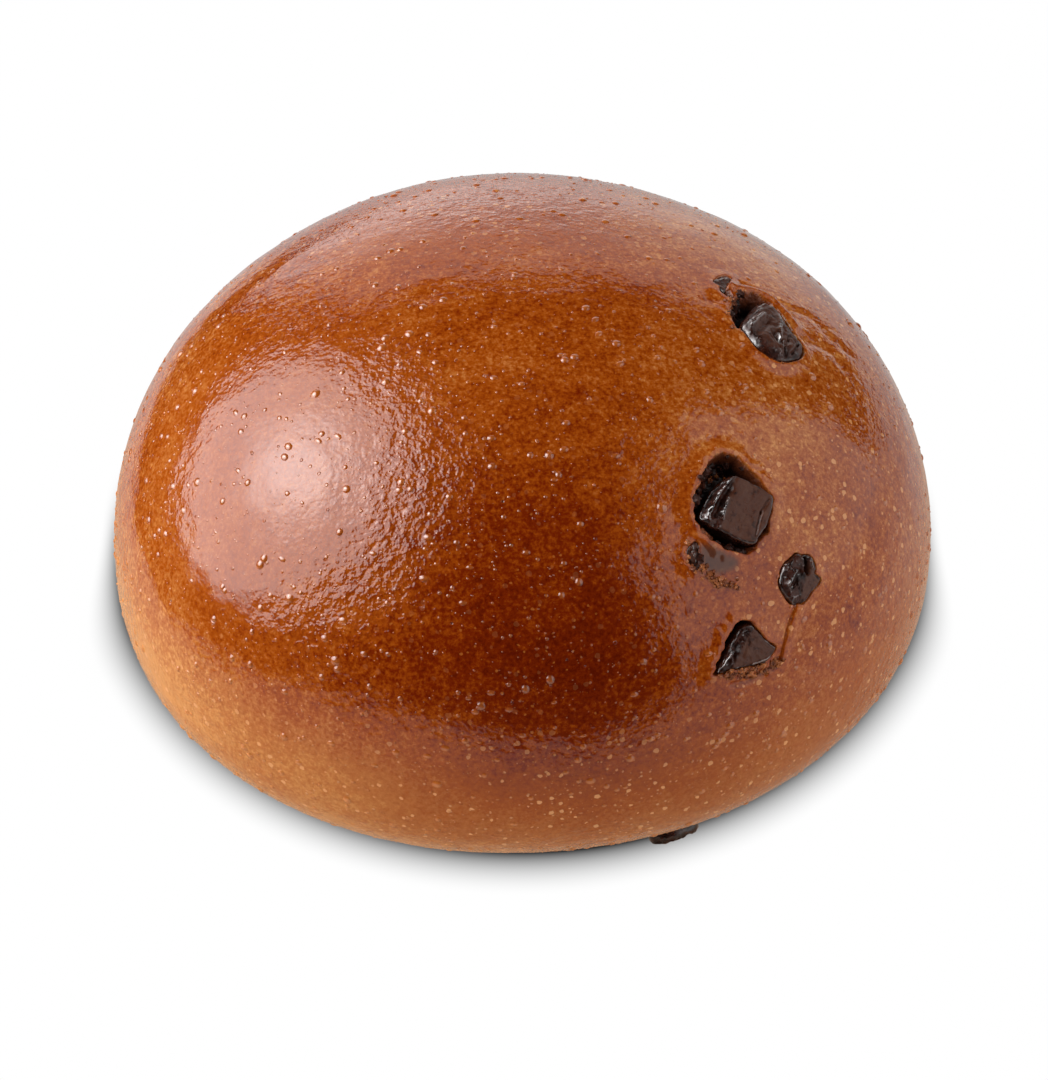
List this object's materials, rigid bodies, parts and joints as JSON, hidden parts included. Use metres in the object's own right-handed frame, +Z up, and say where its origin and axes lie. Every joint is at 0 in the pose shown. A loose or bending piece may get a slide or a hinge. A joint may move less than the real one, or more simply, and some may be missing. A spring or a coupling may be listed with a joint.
{
  "type": "chocolate tea bun",
  "caption": "Round glazed tea bun with a domed, egg-washed brown crust, a tucked-in flat underside and pieces of dark chocolate baked into it, as food for a plate or counter.",
  "frame": {"origin": "middle of the flat underside that the bun rests on", "axes": "+Z up from the flat underside to the top of the dome; +X and +Y level, with the cluster of chocolate pieces on the shoulder between +X and -Y"},
  "size_m": [0.0972, 0.0929, 0.0575],
  "materials": {
    "crust": "glossy egg-washed bread crust, deep brown",
    "chocolate": "semi-gloss dark chocolate"
  },
  "bodies": {
    "root": {"bun": "crust", "chocolate_block": "chocolate", "chocolate_sunken": "chocolate", "chocolate_nib": "chocolate", "chocolate_wedge": "chocolate", "chocolate_long": "chocolate", "chocolate_crumb": "chocolate", "chocolate_foot": "chocolate", "chocolate_back_1": "chocolate", "chocolate_back_2": "chocolate", "chocolate_back_3": "chocolate", "chocolate_back_4": "chocolate", "chocolate_back_5": "chocolate"}
  },
  "joints": []
}
